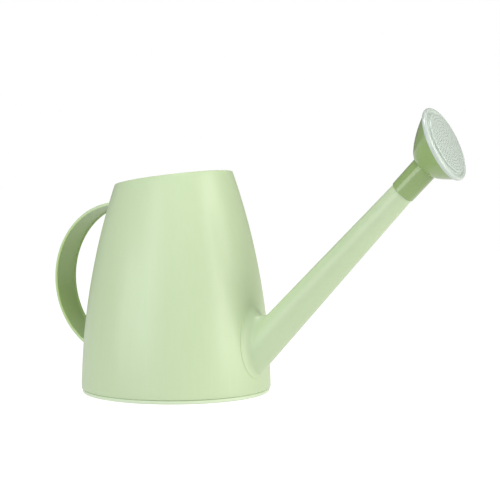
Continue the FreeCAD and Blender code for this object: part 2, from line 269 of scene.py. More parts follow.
class Graph:
    """A node tree that is filled in left to right."""

    def __init__(self, tree: bpy.types.NodeTree) -> None:
        """Take over a tree and empty it."""
        self.tree = tree
        tree.nodes.clear()

    def add(self, kind: str, **settings: object) -> bpy.types.Node:
        """Add a node.

        Args:
            kind: The node's type.
            settings: Properties by name, or input values under "inputs".

        Returns:
            The node.
        """
        node = self.tree.nodes.new(kind)
        for key, value in settings.items():
            if key == "inputs":
                for name, setting in value.items():
                    node.inputs[name].default_value = setting
            else:
                setattr(node, key, value)
        node.location = (180 * len(self.tree.nodes), 0)
        return node

    def wire(
        self, source: bpy.types.Node, output: str | int, target: bpy.types.Node, entry: str | int
    ) -> None:
        """Join an output to an input."""
        self.tree.links.new(source.outputs[output], target.inputs[entry])


def skin_group() -> bpy.types.NodeTree:
    """Shared look of a moulded skin: cloudy tone, fine flow lines, satin variation and orange peel.

    Returns:
        The node group, with a colour, a roughness and a normal as outputs.
    """
    name = "moulded_skin"
    if name in bpy.data.node_groups:
        return bpy.data.node_groups[name]
    tree = bpy.data.node_groups.new(name, "ShaderNodeTree")
    entries = (
        ("Colour", "NodeSocketColor", (0.5, 0.5, 0.5, 1)),
        ("Cloud Colour", "NodeSocketColor", (0.5, 0.5, 0.5, 1)),
        ("Cloud Amount", "NodeSocketFloat", 0.3),
        ("Gloss Low", "NodeSocketFloat", 0.3),
        ("Gloss High", "NodeSocketFloat", 0.4),
        ("Peel Scale", "NodeSocketFloat", 900.0),
        ("Peel Strength", "NodeSocketFloat", 0.05),
        ("Streak Amount", "NodeSocketFloat", 0.3),
    )
    for label, kind, value in entries:
        socket = tree.interface.new_socket(label, in_out="INPUT", socket_type=kind)
        socket.default_value = value
    results = {"Colour": "NodeSocketColor", "Roughness": "NodeSocketFloat", "Normal": "NodeSocketVector"}
    for label, kind in results.items():
        tree.interface.new_socket(label, in_out="OUTPUT", socket_type=kind)
    graph = Graph(tree)
    inlet, outlet = graph.add("NodeGroupInput"), graph.add("NodeGroupOutput")
    place = graph.add("ShaderNodeTexCoord")
    stretch = graph.add("ShaderNodeMapping", inputs={"Scale": (1.0, 1.0, 0.25)})
    graph.wire(place, "Object", stretch, "Vector")
    cloud = graph.add("ShaderNodeTexNoise", inputs={"Scale": 14.0, "Detail": 3.0, "Roughness": 0.5})
    graph.wire(stretch, "Vector", cloud, "Vector")
    share = graph.add("ShaderNodeMath", operation="MULTIPLY")
    graph.wire(cloud, "Fac", share, 0)
    graph.wire(inlet, "Cloud Amount", share, 1)
    draw = graph.add("ShaderNodeMapping", inputs={"Scale": (1.0, 1.0, 0.03)})
    graph.wire(place, "Object", draw, "Vector")
    streak = graph.add("ShaderNodeTexNoise", inputs={"Scale": 260.0, "Detail": 2.0, "Roughness": 0.6})
    graph.wire(draw, "Vector", streak, "Vector")
    faint = graph.add("ShaderNodeMath", operation="MULTIPLY")
    graph.wire(streak, "Fac", faint, 0)
    graph.wire(inlet, "Streak Amount", faint, 1)
    total = graph.add("ShaderNodeMath", operation="ADD", use_clamp=True)
    graph.wire(share, 0, total, 0)
    graph.wire(faint, 0, total, 1)
    mix = graph.add("ShaderNodeMix", data_type="RGBA")
    graph.wire(total, 0, mix, "Factor")
    graph.wire(inlet, "Colour", mix, 6)
    graph.wire(inlet, "Cloud Colour", mix, 7)
    graph.wire(mix, 2, outlet, "Colour")
    satin = graph.add("ShaderNodeTexNoise", inputs={"Scale": 60.0, "Detail": 4.0, "Roughness": 0.6})
    graph.wire(place, "Object", satin, "Vector")
    spread = graph.add("ShaderNodeMapRange", inputs={"From Min": 0.3, "From Max": 0.7})
    graph.wire(satin, "Fac", spread, "Value")
    graph.wire(inlet, "Gloss Low", spread, "To Min")
    graph.wire(inlet, "Gloss High", spread, "To Max")
    graph.wire(spread, "Result", outlet, "Roughness")
    peel = graph.add("ShaderNodeTexNoise", inputs={"Detail": 2.0, "Roughness": 0.5})
    graph.wire(place, "Object", peel, "Vector")
    graph.wire(inlet, "Peel Scale", peel, "Scale")
    bump = graph.add("ShaderNodeBump", inputs={"Distance": 0.0001})
    graph.wire(peel, "Fac", bump, "Height")
    graph.wire(inlet, "Peel Strength", bump, "Strength")
    graph.wire(bump, "Normal", outlet, "Normal")
    return tree


def barrel_group() -> bpy.types.NodeTree:
    """Mask of painted shade: the points near a line along y, full inside the inner radius and none outside the
    outer one.

    It fades towards +X, from full at one x to none at another.

    Returns:
        The node group, with the mask as its output.
    """
    name = "barrel_mask"
    if name in bpy.data.node_groups:
        return bpy.data.node_groups[name]
    tree = bpy.data.node_groups.new(name, "ShaderNodeTree")
    tree.interface.new_socket("Centre", in_out="INPUT", socket_type="NodeSocketVector")
    for label in ("Inner Radius", "Outer Radius", "Full At X", "None At X"):
        tree.interface.new_socket(label, in_out="INPUT", socket_type="NodeSocketFloat")
    tree.interface.new_socket("Mask", in_out="OUTPUT", socket_type="NodeSocketFloat")
    graph = Graph(tree)
    inlet, outlet = graph.add("NodeGroupInput"), graph.add("NodeGroupOutput")
    place = graph.add("ShaderNodeTexCoord")
    offset = graph.add("ShaderNodeVectorMath", operation="SUBTRACT")
    graph.wire(place, "Object", offset, 0)
    graph.wire(inlet, "Centre", offset, 1)
    level = graph.add("ShaderNodeVectorMath", operation="MULTIPLY")
    level.inputs[1].default_value = (1.0, 0.0, 1.0)
    graph.wire(offset, "Vector", level, 0)
    length = graph.add("ShaderNodeVectorMath", operation="LENGTH")
    graph.wire(level, "Vector", length, 0)
    mask = graph.add("ShaderNodeMapRange", inputs={"To Min": 1.0, "To Max": 0.0})
    graph.wire(length, "Value", mask, "Value")
    graph.wire(inlet, "Inner Radius", mask, "From Min")
    graph.wire(inlet, "Outer Radius", mask, "From Max")
    split = graph.add("ShaderNodeSeparateXYZ")
    graph.wire(place, "Object", split, "Vector")
    fade = graph.add("ShaderNodeMapRange", inputs={"To Min": 1.0, "To Max": 0.0})
    graph.wire(split, "X", fade, "Value")
    graph.wire(inlet, "Full At X", fade, "From Min")
    graph.wire(inlet, "None At X", fade, "From Max")
    product = graph.add("ShaderNodeMath", operation="MULTIPLY")
    graph.wire(mask, "Result", product, 0)
    graph.wire(fade, "Result", product, 1)
    graph.wire(product, 0, outlet, "Mask")
    return tree


@dataclass(frozen=True)
class Barrel:
    """Painted shade near a line along y: a darker colour on the deep side of a bent channel, where shade
    falls.
    """

    centre: tuple[float, float, float]
    inner: float
    outer: float
    full_at: float
    none_at: float
    shade_tint: tuple[float, float, float]

    def paint_shade(self, graph: Graph, source: bpy.types.Node) -> bpy.types.Node:
        """Paint shade: multiply a colour by the shade colour inside the barrel.

        Args:
            graph: The material's graph.
            source: Node whose "Colour" output is tinted.

        Returns:
            The mix node, whose output 2 is the colour.
        """
        zone = graph.add("ShaderNodeGroup")
        zone.node_tree = barrel_group()
        zone.inputs["Centre"].default_value = self.centre
        zone.inputs["Inner Radius"].default_value = self.inner
        zone.inputs["Outer Radius"].default_value = self.outer
        zone.inputs["Full At X"].default_value = self.full_at
        zone.inputs["None At X"].default_value = self.none_at
        mix = graph.add("ShaderNodeMix", data_type="RGBA", blend_type="MULTIPLY")
        graph.wire(zone, "Mask", mix, "Factor")
        graph.wire(source, "Colour", mix, 6)
        mix.inputs[7].default_value = (*self.shade_tint, 1)
        return mix


@dataclass(frozen=True)
class Plastic:
    """One moulded plastic finish.

    Colours are linear. gloss is the least and the greatest roughness over the surface, streaks is how
    much the fine flow lines show, and barrel is painted shade on part of the piece.
    """

    name: str
    colour: tuple[float, float, float]
    cloud: tuple[float, float, float]
    cloud_amount: float
    gloss: tuple[float, float]
    peel_scale: float
    peel_strength: float
    streaks: float
    coat: float
    coat_roughness: float
    barrel: Barrel | None = None

    def material(self) -> bpy.types.Material:
        """Build the material once and give it back after that."""
        if self.name in bpy.data.materials:
            return bpy.data.materials[self.name]
        material = bpy.data.materials.new(self.name)
        material.use_nodes = True
        graph = Graph(material.node_tree)
        skin = graph.add("ShaderNodeGroup")
        skin.node_tree = skin_group()
        skin.inputs["Colour"].default_value = (*self.colour, 1)
        skin.inputs["Cloud Colour"].default_value = (*self.cloud, 1)
        skin.inputs["Cloud Amount"].default_value = self.cloud_amount
        skin.inputs["Gloss Low"].default_value = self.gloss[0]
        skin.inputs["Gloss High"].default_value = self.gloss[1]
        skin.inputs["Peel Scale"].default_value = self.peel_scale
        skin.inputs["Peel Strength"].default_value = self.peel_strength
        skin.inputs["Streak Amount"].default_value = self.streaks
        shader = graph.add("ShaderNodeBsdfPrincipled")
        shader.inputs["IOR"].default_value = 1.49
        shader.inputs["Coat Weight"].default_value = self.coat
        shader.inputs["Coat Roughness"].default_value = self.coat_roughness
        if self.barrel:
            graph.wire(self.barrel.paint_shade(graph, skin), 2, shader, "Base Color")
        else:
            graph.wire(skin, "Colour", shader, "Base Color")
        graph.wire(skin, "Roughness", shader, "Roughness")
        graph.wire(skin, "Normal", shader, "Normal")
        end = graph.add("ShaderNodeOutputMaterial")
        graph.wire(shader, "BSDF", end, "Surface")
        return material


SAGE = Plastic(
    name="sage_satin",
    colour=(0.525, 0.655, 0.39),
    cloud=(0.58, 0.70, 0.465),
    cloud_amount=0.5,
    gloss=(0.34, 0.42),
    peel_scale=700.0,
    peel_strength=0.06,
    streaks=0.45,
    coat=0.16,
    coat_roughness=0.25,
)
HANDLE_CENTRE = (-0.0594, 0.0, 0.1099)
# painted shade: the handle's channel is darkened to a deeper olive that stands in for the shade inside the
# strap, not a colour of the plastic
SAGE_CHANNEL_SHADE = replace(
    SAGE,
    name="sage_channel_painted_shade",
    barrel=Barrel(
        centre=HANDLE_CENTRE,
        inner=0.0766,
        outer=0.0782,
        full_at=-0.128,
        none_at=-0.07,
        shade_tint=(0.74, 0.84, 0.45),
    ),
)
# painted light: a paler copy of the sage plastic for the floor pan, standing in for the floor's bounce light
# on the band at the foot
SAGE_BOUNCE_LIT = replace(SAGE, name="sage_painted_bounce_light", colour=(0.66, 0.78, 0.54), cloud=(0.70, 0.81, 0.60))
OLIVE = Plastic(
    name="olive_gloss",
    colour=(0.245, 0.365, 0.12),
    cloud=(0.325, 0.45, 0.185),
    cloud_amount=0.7,
    gloss=(0.14, 0.22),
    peel_scale=500.0,
    peel_strength=0.05,
    streaks=0.25,
    coat=0.6,
    coat_roughness=0.06,
)
CHALK = Plastic(
    name="chalk_white",
    colour=(0.58, 0.65, 0.60),
    cloud=(0.52, 0.61, 0.55),
    cloud_amount=0.6,
    gloss=(0.16, 0.24),
    peel_scale=1200.0,
    peel_strength=0.04,
    streaks=0.0,
    coat=0.5,
    coat_roughness=0.08,
)
WASHER = Plastic(
    name="washer_rubber",
    colour=(0.03, 0.03, 0.03),
    cloud=(0.05, 0.05, 0.05),
    cloud_amount=0.6,
    gloss=(0.6, 0.75),
    peel_scale=2500.0,
    peel_strength=0.2,
    streaks=0.0,
    coat=0.0,
    coat_roughness=0.5,
)


@dataclass(frozen=True)
class Home:
    """Where a piece belongs: the body it rides on, the CAD node it stands for, its slot and its finish."""

    body: Body
    node: str
    slot: Slot
    finish: Plastic

    def take(self, piece: bpy.types.Object) -> bpy.types.Object:
        """Dress a finished piece and hang it on its body.

        Args:
            piece: The piece, in place.

        Returns:
            The same piece.
        """
        piece.data.materials.clear()
        piece.data.materials.append(self.finish.material())
        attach(piece, self.body.value)
        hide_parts(self.node)
        LOG.info("%s: %d points, rides on %s", piece.name, len(piece.data.vertices), self.body.value)
        return piece


# ------------------------------------------------------------------ the can


@dataclass
class CanWall:
    """The round bulged wall: one upright arc turned about z, cut off at a slant for the mouth.

    The arc's centre lies a little under the floor, so the wall leans in all the way up.
    """

    foot_radius: float = 0.0947
    bulge_radius: float = 0.673
    bulge_height: float = -0.0042
    thickness: float = 0.0022
    low: float = 0.0043
    mouth_height: float = 0.2132
    mouth_tilt: float = 7.6
    rim_round: float = 0.0009
    low_round: float = 0.0005
    levels: int = 36
    home: Home = Home(Body.CAN, "body_shell", Slot.CAN, SAGE)

    def radius(self, height: float, inset: float = 0.0) -> float:
        """Radius of the wall at a height, on the arc that lies inset inside its outer face."""
        axis = self.foot_radius - math.sqrt(self.bulge_radius**2 - self.bulge_height**2)
        return axis + math.sqrt((self.bulge_radius - inset) ** 2 - (height - self.bulge_height) ** 2)

    def skin(self, point: Vector, lift: float = 0.0) -> Vector:
        """Move a point level to the wall's outer face.

        Args:
            point: The point.
            lift: How far outside the face it ends.

        Returns:
            The moved point.
        """
        grow = (self.radius(point.z) + lift) / math.hypot(point.x, point.y)
        return Vector((point.x * grow, point.y * grow, point.z))

    def rim_height(self, angle: float, inset: float) -> float:
        """Height of the mouth's plane above a point of the wall."""
        height = self.mouth_height
        for _ in range(6):
            reach = self.radius(height, inset) * math.cos(angle)
            height = self.mouth_height + math.tan(math.radians(self.mouth_tilt)) * reach
        return height

    def outline(self) -> list[tuple[float, float, float]]:
        """The wall's section as share of the height, drop below that, and inset, once round."""
        shares = [i / self.levels for i in range(self.levels + 1)]
        rim, low, inner = self.rim_round, self.low_round, self.thickness
        corner = [math.radians(90 * i / 4) for i in range(5)]
        points = [(0.0, -low * (1 - math.sin(a)), low * (1 - math.cos(a))) for a in reversed(corner)]
        points += [(share, 0.0, 0.0) for share in shares[1:-1]]
        points += [(1.0, rim * (1 - math.sin(a)), rim * (1 - math.cos(a))) for a in corner]
        points += [(1.0, rim * (1 - math.sin(a)), inner - rim * (1 - math.cos(a))) for a in reversed(corner)]
        points += [(share, 0.0, inner) for share in reversed(shares[1:-1])]
        return points + [(0.0, 0.0, inner)]

    def build(self, spout: "Spout") -> bpy.types.Object:
        """Turn the wall, slant its mouth and open the hole behind the spout.

        Args:
            spout: The spout, which gives the hole's place.

        Returns:
            The wall.
        """
        outline = self.outline()
        rings = [Ring(self.foot_radius, self.low + i * MM) for i in range(len(outline))]
        wall = turned("can_wall", rings)

        def place(ring: int, angle: float, _: Vector) -> Vector:
            share, drop, inset = outline[ring]
            height = self.low + share * (self.rim_height(angle, inset) - self.low) - drop
            radius = self.radius(height, inset)
            return Vector((radius * math.cos(angle), radius * math.sin(angle), height))

        reshape(wall, place)
        outward(wall)
        hole, reach = spout.root_radius - spout.tube_wall, 3 * spout.root_radius
        rod = [Ring(MM, -reach), Ring(hole, -reach), Ring(hole, reach), Ring(MM, reach)]
        drill = turned("spout_drill", rod, Ends.POLES, 96)
        outward(drill)
        put(drill, spout.frame())
        subtract(wall, drill)
        smooth(wall)
        return self.home.take(wall)

    def form(self, inset: float) -> bpy.types.Object:
        """Solid of the can's outside, a little smaller, to trim other pieces to the wall.

        Args:
            inset: How far the solid lies inside the wall's outer face.

        Returns:
            The solid, for use as a tool.
        """
        top = self.mouth_height + self.foot_radius * math.sin(math.radians(self.mouth_tilt))
        heights = [top * i / self.levels for i in range(self.levels + 1)]
        rings = [Ring(self.radius(h, inset), h) for h in heights]
        rings = [Ring(MM, 0.0), *rings, Ring(MM, top)]
        solid = turned("wall_form", rings, Ends.POLES)
        outward(solid)
        return solid


@dataclass
class FloorPan:
    """Floor with a foot ring, the band under the seam, and the collar that stands inside the wall."""

    wall: CanWall
    band_radius: float = 0.0936
    band_round: float = 0.0016
    groove: float = 0.0008
    foot_inner: float = 0.0876
    underside: float = 0.0036
    top: float = 0.006
    collar_top: float = 0.013
    collar_wall: float = 0.002
    # its finish is a paler sage that paints in the floor's bounce light
    home: Home = Home(Body.CAN, "base_pan", Slot.CAN, SAGE_BOUNCE_LIT)

    def build(self) -> bpy.types.Object:
        """Turn the pan.

        Returns:
            The pan.
        """
        inner, seam = self.wall.thickness, self.wall.low
        collar = self.wall.radius(self.collar_top, inner)
        groove_floor = self.wall.radius(seam, inner)
        edge, tiny = 0.0004, 0.0006
        foot = self.band_round
        rings = [Ring(MM, self.underside), Ring(self.foot_inner - 2 * MM, self.underside)]
        rings += [Ring(self.foot_inner, self.underside), Ring(self.foot_inner, 2 * edge)]
        rings += arc((self.foot_inner + tiny, tiny), tiny, 180, 270, 4)
        rings += arc((self.band_radius - foot, foot), foot, 270, 360, 8)
        rings += arc((self.band_radius - edge, seam - self.groove - edge), edge, 0, 90, 4)
        rings += [Ring(groove_floor, seam - self.groove), Ring(groove_floor, seam)]
        rings += [Ring(self.wall.radius(h, inner), h) for h in (seam + 3 * MM, self.collar_top - edge)]
        inside = collar - self.collar_wall
        rings += [Ring(collar - edge, self.collar_top), Ring(inside + edge, self.collar_top)]
        rings += [Ring(inside, self.collar_top - edge)]
        rings += arc((inside - foot, self.top + foot), foot, 360, 270, 5)
        rings += [Ring(self.foot_inner / 2, self.top), Ring(MM, self.top)]
        pan = turned("floor_pan", rings, Ends.POLES)
        outward(pan)
        smooth(pan)
        return self.home.take(pan)


@dataclass
class Spout:
    """Long tapered tube, faired into the wall at its root and stepped down at its end for the rose.

    Distances along it are measured from its foot, a point near the wall on its axis.
    """

    wall: CanWall
    foot_x: float = 0.09
    foot_z: float = 0.0423
    elevation: float = 45.6
    root_radius: float = 0.0178
    end_radius: float = 0.0112
    seat_start: float = 0.22
    seat_end: float = 0.246
    seat_radius: float = 0.0106
    tip_radius: float = 0.0102
    tube_wall: float = 0.0018
    fairing: float = 0.0084
    fairing_growth: float = 0.3
    fairing_steps: int = 12
    free_start: float = 0.06
    levels: int = 24
    edge_round: float = 0.0005
    lift: float = 0.0003
    home: Home = Home(Body.CAN, "spout_tube", Slot.CAN, SAGE)

    def frame(self) -> Matrix:
        """Frame whose z is the spout's axis and whose y is the can's."""
        return tilted(Vector((self.foot_x, 0, self.foot_z)), self.elevation)

    def radius(self, distance: float) -> float:
        """Outer radius at a distance along the axis."""
        return self.root_radius + (self.end_radius - self.root_radius) * distance / self.seat_start

    def generator(self, angle: float, inset: float) -> tuple[Vector, Vector]:
        """Straight line of the tube's skin at an angle about the axis.

        Args:
            angle: The angle, 0 under the spout and 180 degrees above it.
            inset: How far the skin lies inside the outer one.

        Returns:
            Its point beside the foot, and its direction.
        """
        turn = self.frame()
        across = Vector((math.cos(angle), math.sin(angle), 0))
        start = turn @ (across * (self.radius(0) - inset))
        end = turn @ (across * (self.radius(self.seat_start) - inset) + Vector((0, 0, self.seat_start)))
        return start, (end - start).normalized()

    def meet(self, angle: float, inset: float) -> Vector:
        """Point where the tube's skin meets the wall's outer face, at an angle about the axis."""
        start, along = self.generator(angle, inset)
        low, high = -2 * self.root_radius, 2 * self.root_radius
        for _ in range(40):
            middle = (low + high) / 2
            point = start + along * middle
            if math.hypot(point.x, point.y) < self.wall.radius(point.z):
                low = middle
            else:
                high = middle
        return start + along * low

    def fairing_arc(self, angle: float) -> list[Vector]:
        """Hollow round between the wall and the tube, as a ball leaves it that rolls along their corner.

        The ball is largest above the spout, where the corner is sharpest, and the round starts with a small
        step up from the wall.

        Args:
            angle: The angle about the spout's axis.

        Returns:
            The points of the round, from the wall to the tube.
        """
        corner = self.meet(angle, 0.0)
        _, along = self.generator(angle, 0.0)
        lean = (corner.z - self.wall.bulge_height) / self.wall.bulge_radius
        flat = Vector((corner.x, corner.y, 0)).normalized() * math.sqrt(1 - lean**2)
        normal = Vector((flat.x, flat.y, lean))
        away = self.frame().to_3x3() @ Vector((math.cos(angle), math.sin(angle), 0))
        away = (away - normal * away.dot(normal)).normalized()
        half = along.angle(away) / 2
        ball = self.fairing * (1 + self.fairing_growth * (1 - math.cos(angle)) / 2)
        reach = ball / math.tan(half)
        centre = corner + (along + away).normalized() * (ball / math.sin(half))
        start, end = corner + away * reach - centre, corner + along * reach - centre
        drop = self.wall.skin(centre + start, self.lift) - (centre + start)
        points = []
        for step in range(self.fairing_steps + 1):
            share = step / self.fairing_steps
            spoke = start.normalized().slerp(end.normalized(), share) if share else start.normalized()
            points.append(centre + spoke * ball + drop * (1 - share) ** 2)
        return [self.wall.skin(points[0], -self.lift / 2), *points]

    def build(self) -> bpy.types.Object:
        """Turn the tube, bore included, and bend its root rings onto the wall.

        Returns:
            The spout.
        """
        tube, edge, start = self.tube_wall, self.edge_round, self.free_start
        step = (self.seat_start - edge - start) / self.levels
        straight = [start + step * i for i in range(self.levels + 1)]
        rings = [Ring(self.radius(d), d) for d in straight]
        rings += arc((self.end_radius - edge, self.seat_start - edge), edge, 0, 90, 4)[1:]
        rings += [Ring(self.seat_radius, self.seat_start), Ring(self.tip_radius, self.seat_end - edge)]
        rings += arc((self.tip_radius - edge, self.seat_end - edge), edge, 0, 90, 4)[1:]
        bore = [self.seat_end, self.seat_end - edge, self.seat_start, self.seat_start / 2, start]
        rings += [Ring(self.radius(d) - tube + (edge if d == self.seat_end else 0), d) for d in bore]
        bent = self.fairing_steps + 2
        root = [Ring(self.root_radius, i * MM) for i in range(bent)]
        rings = root + rings + [Ring(self.root_radius - tube, 0.0)]
        spout = turned("spout_tube_skin", rings)
        arcs: dict[float, list[Vector]] = {}

        def place(ring: int, angle: float, point: Vector) -> Vector:
            if ring < bent:
                key = round(angle, 4)
                if key not in arcs:
                    arcs[key] = self.fairing_arc(angle)
                return arcs[key][ring]
            if ring == len(rings) - 1:
                return self.meet(angle, tube)
            return self.frame() @ point

        reshape(spout, place)
        outward(spout)
        smooth(spout)
        return self.home.take(spout)


@dataclass
class Handle:
    """Strap with two inward lips: part of a ring about a line along y, trimmed to the wall."""

    wall: CanWall
    centre: tuple[float, float, float] = HANDLE_CENTRE
    back_radius: float = 0.079
    width: float = 0.033
    depth: float = 0.0032
    strap: float = 0.002
    corner: float = 0.0008
    tip_round: float = 0.0007
    root_round: float = 0.0006
    bite: float = 0.0002
    # its finish paints shade into the deep side of the channel
    home: Home = Home(Body.CAN, "handle_strap", Slot.CAN, SAGE_CHANNEL_SHADE)

    def build(self) -> bpy.types.Object:
        """Turn the strap's section and trim it.

        Returns:
            The handle.
        """
        side, lip = self.width / 2, self.back_radius - self.depth
        web, inside = self.back_radius - self.strap, self.width / 2 - self.strap
        corner, tip, root = self.corner, self.tip_round, self.root_round
        half = arc((self.back_radius - corner, side - corner), corner, 0, 90, 5)
        half += arc((lip + tip, side - tip), tip, 90, 180, 5)
        half += arc((lip + tip, inside + tip), tip, 180, 270, 5)
        half += arc((web - root, inside - root), root, 90, 0, 5)
        mirrored = [Ring(ring.radius, -ring.height) for ring in reversed(half)]
        strap = turned("handle_strap_skin", half + mirrored, Ends.LOOP, 256)
        outward(strap)
        turn = Matrix.Rotation(math.radians(90), 4, "X")
        put(strap, Matrix.Translation(self.centre) @ turn)
        subtract(strap, self.wall.form(self.bite))
        smooth(strap)
        return self.home.take(strap)


# ------------------------------------------------------------------ the rose


@dataclass
class RoseSleeve:
    """Sleeve over the spout's end, with a shoulder for the washer and a short neck in the bowl's hole."""

    spout: Spout
    gap: float = 0.00008
    length: float = 0.031
    mouth_radius: float = 0.0121
    top_radius: float = 0.0124
    way_radius: float = 0.008
    neck_radius: float = 0.0104
    neck_length: float = 0.0026
    washer: float = 0.002
    washer_inner: float = 0.0086
    edge: float = 0.0005
    home: Home = Home(Body.ROSE, "rose_socket", Slot.ROSE, OLIVE)
    washer_home: Home = Home(Body.SEAL, "rose_seal", Slot.SEAL, WASHER)

    @property
    def top(self) -> float:
        """Distance of the sleeve's upper end along the spout."""
        return self.spout.seat_start + self.length

    def build(self) -> bpy.types.Object:
        """Turn the sleeve.

        Returns:
            The sleeve.
        """
        spout, gap, edge = self.spout, self.gap, self.edge
        mouth = spout.seat_start + gap
        shoulder = spout.seat_end + self.washer + 2 * gap
        neck_end = self.top + self.neck_length
        entry, seat = spout.seat_radius + gap, spout.tip_radius + gap
        rings = [Ring(entry + edge / 2, mouth)]
        rings += arc((self.mouth_radius - edge, mouth + edge), edge, 270, 360, 5)
        rings += [Ring(self.top_radius, self.top), Ring(self.neck_radius, self.top)]
        rings += [Ring(self.neck_radius, neck_end - edge), Ring(self.neck_radius - edge, neck_end)]
        rings += [Ring(self.way_radius + edge, neck_end), Ring(self.way_radius, neck_end - edge)]
        rings += [Ring(self.way_radius, shoulder), Ring(seat, shoulder), Ring(seat, spout.seat_end)]
        rings += [Ring(entry, mouth + edge / 2)]
        sleeve = turned("rose_sleeve", rings, Ends.LOOP, 128)
        outward(sleeve)
        put(sleeve, spout.frame())
        smooth(sleeve)
        return self.home.take(sleeve)

    def build_washer(self) -> bpy.types.Object:
        """Turn the soft washer between the spout's tip and the shoulder.

        Returns:
            The washer.
        """
        low = self.spout.seat_end + self.gap
        high = low + self.washer
        inner, outer, edge = self.washer_inner, self.spout.tip_radius, 0.6 * self.edge
        rings = arc((outer - edge, low + edge), edge, 270, 360, 3)
        rings += arc((outer - edge, high - edge), edge, 0, 90, 3)
        rings += arc((inner + edge, high - edge), edge, 90, 180, 3)
        rings += arc((inner + edge, low + edge), edge, 180, 270, 3)
        washer = turned("rose_washer", rings, Ends.LOOP, 96)
        outward(washer)
        put(washer, self.spout.frame())
        smooth(washer)
        return self.washer_home.take(washer)


@dataclass
class RoseBowl:
    """Thin bowl of round sections that grow and tilt from the sleeve to the face."""

    sleeve: RoseSleeve
    face_x: float = 0.2863
    face_z: float = 0.2439
    face_tilt: float = 24.0
    skirt_depth: float = 0.005
    neck_radius: float = 0.0125
    rim_radius: float = 0.0335
    flare: float = 0.73
    wall: float = 0.0024
    back: float = 0.002
    lip_radius: float = 0.0326
    lip_height: float = 0.0016
    levels: int = 32
    home: Home = Home(Body.ROSE, "rose_cup", Slot.ROSE, OLIVE)

    def face_frame(self) -> Matrix:
        """Frame whose origin is the centre of the rose's front and whose z points out of it."""
        return tilted(Vector((self.face_x, 0, self.face_z)), self.face_tilt)

    def section(self, share: float) -> Matrix:
        """Frame of the section that lies a share of the way from the sleeve to the rim."""
        neck = self.sleeve.spout.frame() @ Vector((0, 0, self.sleeve.top))
        rim = self.face_frame() @ Vector((0, 0, -self.skirt_depth))
        elevation = self.sleeve.spout.elevation
        return tilted(neck.lerp(rim, share), elevation + (self.face_tilt - elevation) * share)

    def radius(self, share: float) -> float:
        """Outer radius of a section."""
        return self.neck_radius + (self.rim_radius - self.neck_radius) * share**self.flare

    def build(self) -> bpy.types.Object:
        """Turn the bowl's two skins and tilt each section to its place.

        Returns:
            The bowl.
        """
        neck, rim = (self.section(share).translation for share in (0.0, 1.0))
        start = self.back / (rim - neck).length
        shares = [(i / self.levels) ** 2 for i in range(self.levels + 1)]
        inner_shares = [start + (1 - start) * share for share in shares]
        hole, edge = self.sleeve.neck_radius, 0.0003
        sections: list[tuple[float, float, float]] = [(0.0, hole, 0.0)]
        sections += [(share, self.radius(share), 0.0) for share in shares[:-1]]
        sections += [(1.0, self.rim_radius, -edge), (1.0, self.rim_radius - edge, 0.0)]
        sections += [(1.0, self.lip_radius, 0.0), (1.0, self.lip_radius, self.lip_height - edge)]
        sections += [(1.0, self.lip_radius - edge, self.lip_height)]
        sections += [(1.0, self.rim_radius - self.wall, self.lip_height)]
        sections += [(share, self.radius(share) - self.wall, 0.0) for share in reversed(inner_shares)]
        sections += [(start, hole, 0.0)]
        bowl = turned("rose_bowl", [Ring(radius, i * MM) for i, (_, radius, _) in enumerate(sections)])

        def place(ring: int, angle: float, _: Vector) -> Vector:
            share, radius, rise = sections[ring]
            return self.section(share) @ Vector((radius * math.cos(angle), radius * math.sin(angle), rise))

        reshape(bowl, place)
        outward(bowl)
        smooth(bowl)
        return self.home.take(bowl)


